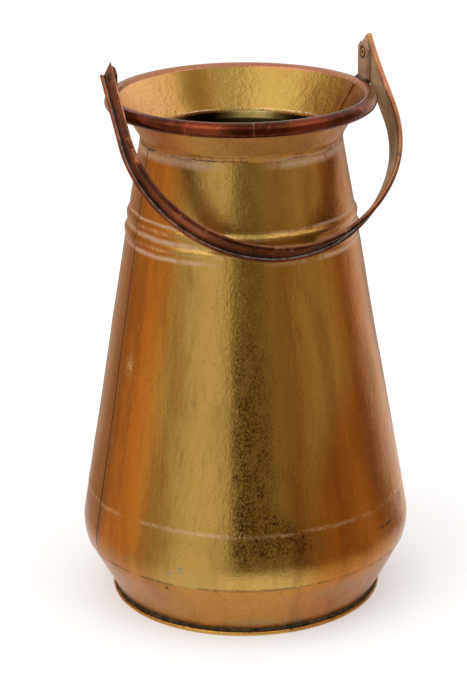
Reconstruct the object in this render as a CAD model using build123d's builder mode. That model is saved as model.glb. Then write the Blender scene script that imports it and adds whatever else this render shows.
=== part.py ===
from build123d import *

import os
from math import asin, atan, atan2, cos, degrees, hypot, radians, sin, tan

# Brass water can with a copper rim and a swinging copper bail, in millimetres.
# Z is up and the foot stands on z = 0. The bail turns about an axis along X and hangs towards -Y.

# Sheet and solder
sheet = 0.9
copper = 0.9
film = 0.1

# Foot: a folded hem round the flange of the base cup
foot_radius = 90.0
foot_wall_inset = 3.6
flange_width = 2.0
hem_fold = 2.6
floor_recess = 3.0
floor_inset = 12.0
floor_step = 4.0
foot_solder_rise = 1.6
foot_solder_toe = 1.3

# Bulge: where the straight lines of the cup and the body would meet, and how it is rounded
bulge_radius = 110.0
bulge_height = 44.0
bulge_round = 40.0
crease_height = 77.0
lap_height = 40.0
lap_overlap = 8.0
lap_solder_width = 1.5

# Neck and the beads below it
neck_radius = 64.7
neck_height = 309.0
bead_drop = 57.5
bead_pitch = 10.1
bead_count = 2
bead_chord = 7.0
bead_rise = 1.3
neck_solder_rise = 2.2

# Lap seams of the body and the collar
body_seam_azimuth = 184.0
collar_seam_azimuth = -2.0
seam_arc = 5.0
seam_rise = 0.7

# Collar and rolled rim
spigot_depth = 6.0
neck_bend_length = 1.5
rim_overhang = 17.2
collar_rise = 24.9
rim_roll_radius = 4.7
rim_wire_gap = 0.05

# Ears and pivots
ear_setback = 2.75
ear_width = 14.0
ear_thickness = 1.8
ear_corner = 3.6
ear_above_pivot = 6.5
pivot_rise = 22.1
braze_toe = 1.6
braze_rise = 1.2
braze_side = 0.8

# Rivets
rivet_radius = 2.0
rivet_running_gap = 0.06
rivet_tight_gap = 0.02
peen_radius = 2.9
peen_height = 0.7
dish_radius = 3.9
dish_end_gap = 0.15
dimple_radius = 1.2
dimple_depth = 0.5
head_radius = 3.6
head_height = 1.3

# Bail
bail_gap = 0.5
bail_width = 19.0
bail_curl_radius = 1.75
bail_curl_slit = 0.7
bail_wire_gap = 0.05
bail_leg = 43.05
bail_tip = 8.1
left_curl_start = 10.5
bail_rest_gap = 0.6


# Places worked out from the sizes above, in the half plane of radius and height

foot_wall_radius = foot_radius - foot_wall_inset
floor_radius = foot_radius - floor_inset
bead_height = neck_height - bead_drop
rim_radius = neck_radius + rim_overhang
rim_height = neck_height + collar_rise
cone_slope = (bulge_radius - neck_radius) / (neck_height - bulge_height)
cone_lean = atan(cone_slope)
lap_step = sheet + film
flange_top = 2 * sheet + film
hem_top = flange_top + film + sheet
hem_round = hem_top / 2
hem_inner_radius = foot_radius - hem_fold

# The cup's wall runs parallel to the body's lower line, one lap step inside it
wall_run = bulge_radius - foot_wall_radius
wall_climb = bulge_height - flange_top
cup_lean = atan2(wall_run, wall_climb) - asin(lap_step / hypot(wall_run, wall_climb))

# Centre of the arc that rounds the bulge
bulge_reach = bulge_round / (1 + cos(cup_lean + cone_lean))
bulge_center_radius = bulge_radius - bulge_reach * (cos(cup_lean) + cos(cone_lean))
bulge_center_height = bulge_height + bulge_reach * (sin(cup_lean) - sin(cone_lean))
bulge_center = (bulge_center_radius, bulge_center_height)
lap_angle = asin((lap_height - bulge_center_height) / bulge_round)
cup_radius = bulge_round - lap_step
cup_top_angle = lap_angle + lap_overlap / cup_radius


def on_bulge(radius, angle):
    """Point on an arc about the centre of the bulge."""
    return (bulge_center_radius + radius * cos(angle), bulge_center_height + radius * sin(angle))


def on_cone(height, inward=0.0):
    """Point on the outer line of the body at a height, moved square to the line into the can."""
    radius = neck_radius + cone_slope * (neck_height - height)
    return (radius - inward * cos(cone_lean), height - inward * sin(cone_lean))


def on_cup(height):
    """Point on the outer line of the cup's wall at a height."""
    return (foot_wall_radius + tan(cup_lean) * (height - flange_top), height)


def along_body(start, distance):
    """Point moved up along the slope of the body."""
    return (start[0] - distance * sin(cone_lean), start[1] + distance * cos(cone_lean))


# The collar leaves the neck along the body's slope, then flares to meet the rim roll on its inner side
neck_outer = on_cone(neck_height)
neck_inside = on_cone(neck_height, lap_step)
collar_foot = along_body(neck_inside, -spigot_depth)
collar_bend = along_body(neck_inside, neck_bend_length)
flare_run = rim_radius - collar_bend[0]
flare_climb = rim_height - collar_bend[1]
flare_tangent = rim_roll_radius - sheet
flare_lean = atan2(flare_run, flare_climb) - asin(flare_tangent / hypot(flare_run, flare_climb))
collar_bend_radius = neck_bend_length / tan((cone_lean + flare_lean) / 2)


def along_flare(distance):
    """Point on the outer line of the flare at a distance from the collar's bend."""
    return (collar_bend[0] + distance * sin(flare_lean), collar_bend[1] + distance * cos(flare_lean))


def by_flare(along, inward):
    """Point beside the rim wire: along the flare from the wire's centre, and square to it into the can."""
    radius = rim_radius + along * sin(flare_lean) - inward * cos(flare_lean)
    height = rim_height + along * cos(flare_lean) + inward * sin(flare_lean)
    return (radius, height)


collar_top = by_flare(0, flare_tangent)
rim_top = rim_height + rim_roll_radius

# Ears, pivots and the bail's half width follow the rim
pivot_height = rim_height + pivot_rise
ear_inner = rim_radius + ear_setback
ear_outer = ear_inner + ear_thickness
ear_top = pivot_height + ear_above_pivot
bail_inner = ear_outer + bail_gap
bail_depth = bail_leg + bail_inner

# The bail hangs where its lower edge comes to rest on the beads
rest_reach = bail_depth - cone_slope * bail_width / 2
rest_drop = bail_width / 2 + cone_slope * bail_depth
rest_radius = on_cone(pivot_height)[0] + (bead_rise + bail_rest_gap) / cos(cone_lean)
bail_tilt = asin(rest_radius / hypot(rest_reach, rest_drop)) + atan2(rest_drop, rest_reach)
bail_down = Vector(0, -sin(bail_tilt), -cos(bail_tilt))
bail_forward = Vector(0, -cos(bail_tilt), sin(bail_tilt))
bail_plane = Plane(origin=(0, 0, pivot_height), x_dir=(1, 0, 0), z_dir=bail_forward)
curl_offset = bail_width / 2 - bail_curl_radius


def seam_plane(azimuth):
    """Half plane of radius and height at an angle in degrees about the can's axis."""
    angle = radians(azimuth)
    return Plane(origin=(0, 0, 0), x_dir=(cos(angle), sin(angle), 0), z_dir=(sin(angle), -cos(angle), 0))


def body_line():
    """Outer line of the body from its lower edge over the bulge and the beads to the neck."""
    CenterArc(bulge_center, bulge_round, degrees(lap_angle), degrees(cone_lean - lap_angle))
    last = on_bulge(bulge_round, cone_lean)
    half_chord = bead_chord / 2 * cos(cone_lean)
    for number in range(bead_count):
        middle = bead_height + number * bead_pitch
        start = on_cone(middle - half_chord)
        end = on_cone(middle + half_chord)
        Line(last, start)
        ThreePointArc(start, on_cone(middle, -bead_rise), end)
        last = end
    Line(last, neck_outer)


def collar_line():
    """Outer line of the collar from the foot of its spigot to the rim roll."""
    FilletPolyline(collar_foot, collar_bend, collar_top, radius=collar_bend_radius)


def bail_line(half_width, left_end):
    """U-shaped line of the bail in its own plane: two straight legs and a half circle."""
    Line((half_width, bail_tip), (half_width, -bail_leg))
    ThreePointArc((half_width, -bail_leg), (0, -bail_leg - half_width), (-half_width, -bail_leg))
    Line((-half_width, -bail_leg), (-half_width, left_end))


# Body: one rolled sheet with a lap down one side, divided at the crease into a cone and a bulge

with BuildPart() as body_sheet:
    with BuildSketch(Plane.XZ):
        with BuildLine():
            body_line()
            offset(amount=sheet, side=Side.LEFT)
        make_face()
    revolve(axis=Axis.Z)
    with BuildSketch(seam_plane(body_seam_azimuth)):
        with BuildLine():
            body_line()
            offset(amount=seam_rise, side=Side.RIGHT)
        make_face()
    revolve(axis=Axis.Z, revolution_arc=seam_arc)

crease_plane = Plane.XY.offset(crease_height)

with BuildPart() as body_shell:
    add(body_sheet.part)
    split(bisect_by=crease_plane, keep=Keep.TOP)

with BuildPart() as body_bulge:
    add(body_sheet.part)
    split(bisect_by=crease_plane, keep=Keep.BOTTOM)

# Base cup: flange, wall and a rounded top that runs up inside the body

with BuildPart() as base_cup:
    with BuildSketch(Plane.XZ):
        with BuildLine():
            cup_tangent = on_bulge(cup_radius, -cup_lean)
            flange_tip = (foot_wall_radius + flange_width, flange_top)
            Polyline(flange_tip, (foot_wall_radius, flange_top), cup_tangent)
            CenterArc(bulge_center, cup_radius, -degrees(cup_lean), degrees(cup_top_angle + cup_lean))
            offset(amount=sheet, side=Side.LEFT)
        make_face()
    revolve(axis=Axis.Z)

# Base disc: recessed floor, with its edge folded over the flange

with BuildPart() as base_disc:
    with BuildSketch(Plane.XZ):
        with BuildLine():
            hem_start = foot_radius - hem_round
            Polyline(
                (0, floor_recess),
                (floor_radius, floor_recess),
                (floor_radius + floor_step, 0),
                (hem_start, 0),
            )
            ThreePointArc((hem_start, 0), (foot_radius, hem_round), (hem_start, hem_top))
            Line((hem_start, hem_top), (hem_inner_radius, hem_top))
            offset(amount=sheet, side=Side.LEFT)
        make_face()
    revolve(axis=Axis.Z)

with BuildPart() as foot_solder:
    with BuildSketch(Plane.XZ):
        with BuildLine():
            Polyline(
                on_cup(flange_top),
                (hem_inner_radius, flange_top),
                (hem_inner_radius, hem_top),
                (hem_inner_radius + foot_solder_toe, hem_top),
                on_cup(hem_top + foot_solder_rise),
                close=True,
            )
        make_face()
    revolve(axis=Axis.Z)

with BuildPart() as lap_solder:
    with BuildSketch(Plane.XZ):
        with BuildLine():
            solder_end_angle = lap_angle - lap_solder_width / cup_radius
            edge_point = on_bulge(bulge_round - film, lap_angle)
            Line(on_bulge(cup_radius, lap_angle), edge_point)
            Line(edge_point, on_bulge(cup_radius, solder_end_angle))
            solder_turn = degrees(lap_angle - solder_end_angle)
            CenterArc(bulge_center, cup_radius, degrees(solder_end_angle), solder_turn)
        make_face()
    revolve(axis=Axis.Z)

# Collar: spigot in the neck, bend and flare, with a lap on its inside

with BuildPart() as collar:
    with BuildSketch(Plane.XZ):
        with BuildLine():
            collar_line()
            offset(amount=sheet, side=Side.LEFT)
        make_face()
    revolve(axis=Axis.Z)
    with BuildSketch(seam_plane(collar_seam_azimuth)):
        with BuildLine():
            collar_line()
            offset(amount=sheet + seam_rise, side=Side.LEFT)
        make_face()
    revolve(axis=Axis.Z, revolution_arc=seam_arc)

with BuildPart() as neck_solder:
    with BuildSketch(Plane.XZ):
        with BuildLine():
            flare_start = along_flare(neck_bend_length)
            solder_top = along_flare(neck_bend_length + neck_solder_rise)
            Line(neck_outer, neck_inside)
            TangentArc(neck_inside, flare_start, tangent=(-sin(cone_lean), cos(cone_lean)))
            Polyline(flare_start, solder_top, neck_outer)
        make_face()
    revolve(axis=Axis.Z)

# Rim: copper band brazed to the top edge of the collar and rolled over an iron wire

with BuildPart() as rim_roll:
    with BuildSketch(Plane.XZ):
        with Locations((rim_radius, rim_height)):
            Circle(rim_roll_radius)
            Circle(rim_roll_radius - copper, mode=Mode.SUBTRACT)
        with BuildLine():
            slot_inner = flare_tangent - film
            slot_outer = rim_roll_radius + copper
            slot_length = 2 * rim_roll_radius
            Polyline(
                by_flare(0, slot_inner),
                by_flare(0, slot_outer),
                by_flare(-slot_length, slot_outer),
                by_flare(-slot_length, slot_inner),
                close=True,
            )
        make_face(mode=Mode.SUBTRACT)
    revolve(axis=Axis.Z)

with BuildPart() as rim_wire:
    with BuildSketch(Plane.XZ):
        with Locations((rim_radius, rim_height)):
            Circle(rim_roll_radius - copper - rim_wire_gap)
    revolve(axis=Axis.Z)

pieces = {
    "body_shell": body_shell,
    "body_bulge": body_bulge,
    "base_cup": base_cup,
    "base_disc": base_disc,
    "foot_solder": foot_solder,
    "lap_solder": lap_solder,
    "collar": collar,
    "neck_solder": neck_solder,
    "rim_roll": rim_roll,
    "rim_wire": rim_wire,
}

# Ears, their brazing and the pivot rivets, one set on each side

for side, sign in (("left", -1), ("right", 1)):
    ear_plane = Plane(origin=(sign * ear_inner, 0, 0), x_dir=(0, sign, 0), z_dir=(sign, 0, 0))
    with BuildPart() as ear:
        with BuildSketch(ear_plane):
            with BuildLine():
                Polyline(
                    (-ear_width / 2, rim_height),
                    (ear_width / 2, rim_height),
                    (ear_width / 2, ear_top - ear_corner),
                    (ear_width / 2 - ear_corner, ear_top),
                    (ear_corner - ear_width / 2, ear_top),
                    (-ear_width / 2, ear_top - ear_corner),
                    close=True,
                )
            make_face()
        extrude(amount=ear_thickness)
        with Locations((0, 0, rim_height)):
            Torus(rim_radius, rim_roll_radius, mode=Mode.SUBTRACT)
        with Locations(Plane(origin=(sign * ear_inner, 0, pivot_height), z_dir=(-sign, 0, 0))):
            CounterBoreHole(
                radius=rivet_radius + rivet_running_gap,
                counter_bore_radius=dish_radius,
                counter_bore_depth=peen_height + dish_end_gap,
            )

    with BuildPart() as ear_braze:
        with BuildSketch(Plane.XZ):
            with BuildLine():
                Polyline(
                    (sign * (ear_inner - braze_toe), rim_height),
                    (sign * ear_outer, rim_height + rim_roll_radius / 2),
                    (sign * ear_outer, rim_top),
                    (sign * ear_inner, rim_top + braze_rise),
                    (sign * (ear_inner - braze_toe), rim_top + film),
                    close=True,
                )
            make_face()
        extrude(amount=ear_width / 2 + braze_side, both=True)
        with Locations((0, 0, rim_height)):
            Torus(rim_radius, rim_roll_radius, mode=Mode.SUBTRACT)
        add(ear.part, mode=Mode.SUBTRACT)

    with BuildPart() as pivot_rivet:
        with BuildSketch(Plane.XZ):
            with BuildLine():
                peen_back = ear_inner + peen_height
                head_seat = bail_inner + copper
                head_end = head_seat + head_height
                dome_radius = (head_radius**2 + head_height**2) / (2 * head_height)
                dome_half_angle = asin(head_radius / dome_radius) / 2
                dome_mid = head_end - dome_radius * (1 - cos(dome_half_angle))
                Polyline(
                    (sign * head_end, pivot_height),
                    (sign * (ear_inner + dimple_depth), pivot_height),
                    (sign * ear_inner, pivot_height + dimple_radius),
                    (sign * ear_inner, pivot_height + peen_radius),
                    (sign * peen_back, pivot_height + peen_radius),
                    (sign * peen_back, pivot_height + rivet_radius),
                    (sign * head_seat, pivot_height + rivet_radius),
                    (sign * head_seat, pivot_height + head_radius),
                )
                ThreePointArc(
                    (sign * head_seat, pivot_height + head_radius),
                    (sign * dome_mid, pivot_height + dome_radius * sin(dome_half_angle)),
                    (sign * head_end, pivot_height),
                )
            make_face()
        revolve(axis=Axis((0, 0, pivot_height), (1, 0, 0)))

    pieces[f"ear_{side}"] = ear
    pieces[f"ear_braze_{side}"] = ear_braze
    pieces[f"pivot_rivet_{side}"] = pivot_rivet

# Bail: copper strip with both edges curled outward over iron wires

with BuildPart() as bail_strip:
    with BuildLine(bail_plane):
        bail_line(bail_inner, bail_tip)
    leg_top = Vector(bail_inner, 0, pivot_height) - bail_down * bail_tip
    with BuildSketch(Plane(origin=leg_top, x_dir=-bail_forward, z_dir=bail_down)):
        with Locations((0, copper / 2)):
            Rectangle(2 * curl_offset, copper)
        for edge in (-1, 1):
            with Locations((edge * curl_offset, bail_curl_radius)):
                Circle(bail_curl_radius)
                Circle(bail_curl_radius - copper, mode=Mode.SUBTRACT)
            with Locations((edge * (curl_offset - bail_curl_radius / 2), copper + bail_curl_slit / 2)):
                Rectangle(bail_curl_radius, bail_curl_slit, mode=Mode.SUBTRACT)
    sweep()
    with BuildSketch(Plane.YZ):
        with Locations((0, pivot_height)):
            Circle(rivet_radius + rivet_tight_gap)
    extrude(amount=bail_inner + 2 * copper, both=True, mode=Mode.SUBTRACT)
    with BuildSketch(bail_plane.offset(bail_width / 2 - 2 * bail_curl_radius)):
        curl_height = 2 * bail_curl_radius
        cut_length = bail_tip + left_curl_start
        cut_middle = bail_inner + copper + curl_height / 2
        with Locations((-cut_middle, bail_tip - cut_length / 2)):
            Rectangle(curl_height, cut_length)
    extrude(amount=2 * bail_curl_radius, mode=Mode.SUBTRACT)

pieces["bail_strip"] = bail_strip

bail_wire_radius = bail_curl_radius - copper - bail_wire_gap
wire_half_width = bail_inner + bail_curl_radius
for name, edge, left_end in (("front", 1, -left_curl_start), ("back", -1, bail_tip)):
    wire_top = leg_top + Vector(bail_curl_radius, 0, 0) + bail_forward * (edge * curl_offset)
    with BuildPart() as bail_wire:
        with BuildLine(bail_plane.offset(edge * curl_offset)):
            bail_line(wire_half_width, left_end)
        with BuildSketch(Plane(origin=wire_top, x_dir=bail_forward, z_dir=bail_down)):
            Circle(bail_wire_radius)
        sweep()
    pieces[f"bail_wire_{name}"] = bail_wire

os.makedirs("parts", exist_ok=True)
for name, piece in pieces.items():
    piece.part.label = name
    export_step(piece.part, f"parts/{name}.step")

print("bail tilt at rest, degrees:", round(degrees(bail_tilt), 2))
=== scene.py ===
import math

import bmesh
import bpy
from mathutils import Matrix, Vector, noise


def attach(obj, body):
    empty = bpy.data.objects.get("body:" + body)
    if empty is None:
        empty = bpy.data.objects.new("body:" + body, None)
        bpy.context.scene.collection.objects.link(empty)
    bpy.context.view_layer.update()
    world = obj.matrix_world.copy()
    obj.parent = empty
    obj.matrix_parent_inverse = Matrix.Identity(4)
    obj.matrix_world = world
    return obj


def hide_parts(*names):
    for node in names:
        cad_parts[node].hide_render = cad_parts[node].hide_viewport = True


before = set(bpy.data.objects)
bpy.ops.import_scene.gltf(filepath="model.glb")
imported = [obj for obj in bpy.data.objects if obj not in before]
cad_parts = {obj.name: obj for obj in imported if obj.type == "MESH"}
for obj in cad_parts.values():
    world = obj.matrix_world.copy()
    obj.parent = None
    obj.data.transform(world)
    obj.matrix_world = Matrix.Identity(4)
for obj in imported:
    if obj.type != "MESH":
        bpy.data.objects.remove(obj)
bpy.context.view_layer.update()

# Sizes of the can in millimetres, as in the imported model
MM = 0.001
SHEET = 0.9
FILM = 0.1
FOOT_RADIUS = 90.0
FOOT_WALL_RADIUS = 86.4
FLANGE_WIDTH = 2.0
HEM_FOLD = 2.6
FLOOR_RECESS = 3.0
FLOOR_RADIUS = 78.0
FLOOR_STEP = 4.0
BULGE_RADIUS = 110.0
BULGE_HEIGHT = 44.0
BULGE_ROUND = 40.0
LAP_HEIGHT = 40.0
LAP_OVERLAP = 8.0
NECK_RADIUS = 64.7
NECK_HEIGHT = 309.0
BEAD_HEIGHTS = (251.5, 261.6)
BEAD_RISE = 1.3
CREASE_HEIGHT = 77.0
SEAM_AZIMUTH = 184.0
COLLAR_SEAM_AZIMUTH = 358.0
SPIGOT_DEPTH = 6.0
NECK_BEND_LENGTH = 1.5
RIM_RADIUS = 81.9
RIM_HEIGHT = 333.9
RIM_ROLL_RADIUS = 4.7
BAIL_INNER = 86.95
BAIL_WIDTH = 19.0
BAIL_CURL_RADIUS = 1.75
BAIL_WIRE_RADIUS = 0.8
BAIL_LEG = 43.05
BAIL_TIP = 8.1
LEFT_CURL_START = 10.5
PIVOT_HEIGHT = 356.0
BAIL_TILT = math.radians(40.18)
FOOT_SOLDER_TOE = 1.3
FOOT_SOLDER_RISE = 1.6
LAP_SOLDER_WIDTH = 1.5
NECK_SOLDER_RISE = 2.2

# Hand work and wear on this one can, in millimetres and degrees
BEAD_HALF_WIDTH = 4.4
CREASE_HALF_WIDTH = 2.6
CREASE_RISE = 0.35
SEAM_FLAT = 3.0
SEAM_FADE = 11.0
SEAM_RISE = 0.6
SEAM_LINE_OFFSET = -0.45
RIM_JOINT_AZIMUTH = 253.0
RIM_JOINT_RISE = 0.18
RIM_JOINT_HALF_WIDTH = 0.45
BAIL_CURL_SLIT = 1.7
LEFT_BAIL_TIP = 5.6
RIGHT_LEG_SPLAY = 3.0
RIGHT_LEG_SPLAY_PLACE = -64.0
RIGHT_LEG_SPLAY_REACH = 62.0
PIVOT_SHADE_RADIUS = 3.6
PIVOT_SHADE_WIDTH = 1.5
RIVET_HOLLOW_RADIUS = 1.4
RIVET_HOLLOW_FLOOR = 0.9

# Camera of the photograph, in millimetres and image pixels
IMAGE_LONG_SIDE = 700
CAMERA_AZIMUTH = -22.0
CAMERA_PITCH = 19.75
CAMERA_DISTANCE = 1539.0
CAMERA_TARGET = 164.4
CAMERA_ROLL = 0.6
FOCAL_PIXELS = 2338.0
AXIS_OFFSET_PIXELS = 10.1
SENSOR = 36.0

# Lines of the profile, in the half plane of radius and height
LAP_STEP = SHEET + FILM
FLANGE_TOP = 2 * SHEET + FILM
HEM_TOP = FLANGE_TOP + FILM + SHEET
CONE_SLOPE = (BULGE_RADIUS - NECK_RADIUS) / (NECK_HEIGHT - BULGE_HEIGHT)
CONE_LEAN = math.atan(CONE_SLOPE)
WALL_RUN = BULGE_RADIUS - FOOT_WALL_RADIUS
WALL_CLIMB = BULGE_HEIGHT - FLANGE_TOP
WALL_LENGTH = math.hypot(WALL_RUN, WALL_CLIMB)
CUP_LEAN = math.atan2(WALL_RUN, WALL_CLIMB) - math.asin(LAP_STEP / WALL_LENGTH)
BULGE_REACH = BULGE_ROUND / (1 + math.cos(CUP_LEAN + CONE_LEAN))
BULGE_CENTER = Vector(
    (
        BULGE_RADIUS - BULGE_REACH * (math.cos(CUP_LEAN) + math.cos(CONE_LEAN)),
        BULGE_HEIGHT + BULGE_REACH * (math.sin(CUP_LEAN) - math.sin(CONE_LEAN)),
    )
)
CUP_RADIUS = BULGE_ROUND - LAP_STEP
LAP_ANGLE = math.asin((LAP_HEIGHT - BULGE_CENTER.y) / BULGE_ROUND)


def arc(center, radius, start, end, count):
    """Points on an arc, with both angles in radians."""
    points = []
    for i in range(count + 1):
        angle = start + (end - start) * i / count
        points.append(Vector(center) + Vector((radius * math.cos(angle), radius * math.sin(angle))))
    return points


def run(start, end, step):
    """Points along a straight line, about one step apart."""
    start, end = Vector(start), Vector(end)
    count = max(1, round((end - start).length / step))
    return [start.lerp(end, i / count) for i in range(count + 1)]


def chain(*parts):
    """Joins lists of points and drops the doubles where they meet."""
    points = []
    for part in parts:
        for point in part:
            if not points or (point - points[-1]).length > 1e-4:
                points.append(point)
    return points


def thicken(line, thickness, every=1):
    """Closed outline of a sheet: the line, and back along its left side."""
    side = []
    for i, point in enumerate(line):
        before = line[max(i - 1, 0)]
        after = line[min(i + 1, len(line) - 1)]
        first = (point - before).normalized() if point != before else (after - point).normalized()
        second = (after - point).normalized() if point != after else first
        along = (first + second).normalized()
        stretch = 1 / max(0.5, along.dot(first))
        side.append(point + Vector((-along.y, along.x)) * thickness * stretch)
    kept = side[::every]
    if kept[-1] != side[-1]:
        kept.append(side[-1])
    return line + kept[::-1]


def on_cone(height, inward=0.0):
    """Point on the outer line of the body, moved square to it into the can."""
    radius = NECK_RADIUS + CONE_SLOPE * (NECK_HEIGHT - height)
    return Vector((radius - inward * math.cos(CONE_LEAN), height - inward * math.sin(CONE_LEAN)))


def on_cup(height):
    """Point on the outer line of the base cup's wall."""
    return Vector((FOOT_WALL_RADIUS + math.tan(CUP_LEAN) * (height - FLANGE_TOP), height))


def soft_step(value, low, high):
    """Smooth rise from 0 to 1 between two values."""
    t = min(1.0, max(0.0, (value - low) / (high - low)))
    return t * t * (3 - 2 * t)


def bump_at(value, middle, half_width):
    """Smooth hump of height 1 about a value."""
    distance = abs(value - middle) / half_width
    return 0.5 + 0.5 * math.cos(math.pi * distance) if distance < 1 else 0.0


def wave(point, size, seed):
    """Smooth noise between about -1 and 1, with features of a size in millimetres."""
    return noise.noise(point / size + Vector((seed, seed * 1.7, seed * 0.3)))


def ripple(point, *layers):
    """Sum of waves, each with a height and a size in millimetres and a seed."""
    return sum(height * wave(point, size, seed) for height, size, seed in layers)


def signed_turn(azimuth):
    """An azimuth in degrees as radians between minus and plus half a turn."""
    return math.radians((azimuth + 180) % 360 - 180)


def lap_step_at(azimuth, seam):
    """1 just past a lap seam, falling to 0 along the sheet that lies on top."""
    turn = (azimuth - seam) % 360
    return 1 - soft_step(turn, SEAM_FLAT, SEAM_FADE) if turn < SEAM_FADE else 0.0


def body_dents(radius, height, azimuth, point):
    """Outward shift of the body's sheet in millimetres: dents, crease and lap."""
    dents = ripple(point, (0.45, 70, 3), (0.16, 24, 11), (0.05, 9, 23))
    dents *= soft_step(height, LAP_HEIGHT, LAP_HEIGHT + 12) * soft_step(NECK_HEIGHT - height, 0, 12)
    crease_height = CREASE_HEIGHT + 1.5 * wave(point, 60, 31)
    crease = CREASE_RISE * bump_at(height, crease_height, CREASE_HALF_WIDTH)
    crease *= 0.7 + 0.6 * wave(point, 25, 37)
    return dents + crease + SEAM_RISE * lap_step_at(azimuth, SEAM_AZIMUTH)


def cup_dents(radius, height, azimuth, point):
    """Outward shift of the base cup, still at its foot and its lap."""
    free = soft_step(height, 6, 14) * soft_step(LAP_HEIGHT - height, 2, 8)
    return free * ripple(point, (0.4, 45, 51), (0.15, 16, 57))


def collar_dents(radius, height, azimuth, point):
    """Outward shift of the collar, still at both its joints."""
    free = soft_step(height, NECK_HEIGHT, NECK_HEIGHT + 6) * soft_step(RIM_HEIGHT - height, -1, 5)
    lap = SEAM_RISE * lap_step_at(azimuth, COLLAR_SEAM_AZIMUTH)
    return free * ripple(point, (0.3, 38, 61), (0.1, 12, 67)) - lap


def rim_dents(radius, height, azimuth, point):
    """Outward shift of the rolled rim, with a lapped joint."""
    turn = (azimuth - RIM_JOINT_AZIMUTH + 180) % 360 - 180
    joint = RIM_JOINT_RISE * (1 - soft_step(abs(turn), 0.8, 1.6))
    outside = (radius - RIM_RADIUS) / RIM_ROLL_RADIUS
    return ripple(point, (0.16, 30, 71), (0.06, 10, 73)) + joint * outside


def solder_lumps(size, amount, seed):
    """Shift for a hand-run bead of solder."""
    def lumps(radius, height, azimuth, point):
        return amount * (wave(point, size, seed) + 0.5 * wave(point, size / 2.6, seed + 5))
    return lumps


def finish_mesh(name, mesh, materials, body, nodes, crease=40.0):
    """Makes the piece of a mesh, shades it and sets it in the frame."""
    mesh.shade_smooth()
    mesh.set_sharp_from_angle(angle=math.radians(crease))
    for material in materials:
        mesh.materials.append(material)
    piece = bpy.data.objects.new(name, mesh)
    bpy.context.collection.objects.link(piece)
    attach(piece, body)
    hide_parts(*nodes)
    return piece


def lathe(name, outline, columns, shift=None, seam=None, inside=None):
    """Mesh of a closed outline turned about Z, with an outward shift of each point and a sharp seam.

    Faces from the outline's point number inside onwards take the second material.
    """
    azimuths = [360.0 * i / columns for i in range(columns)]
    if seam is not None:
        azimuths = sorted([a for a in azimuths if abs(a - seam) > 0.1] + [seam - 0.04, seam + 0.04])
    bm = bmesh.new()
    rings = []
    for azimuth in azimuths:
        angle = math.radians(azimuth)
        out = Vector((math.cos(angle), math.sin(angle), 0))
        ring = []
        for radius, height in outline:
            point = out * radius + Vector((0, 0, height))
            if shift and radius > 1:
                point += out * shift(radius, height, azimuth, point)
            ring.append(bm.verts.new(point * MM))
        rings.append(ring)
    for i, ring in enumerate(rings):
        following = rings[(i + 1) % len(rings)]
        for j in range(len(outline)):
            k = (j + 1) % len(outline)
            made = bm.faces.new((ring[j], following[j], following[k], ring[k]))
            made.material_index = int(inside is not None and j >= inside)
    bmesh.ops.remove_doubles(bm, verts=bm.verts, dist=1e-7)
    bmesh.ops.recalc_face_normals(bm, faces=bm.faces)
    mesh = bpy.data.meshes.new(name)
    bm.to_mesh(mesh)
    bm.free()
    return mesh


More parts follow.
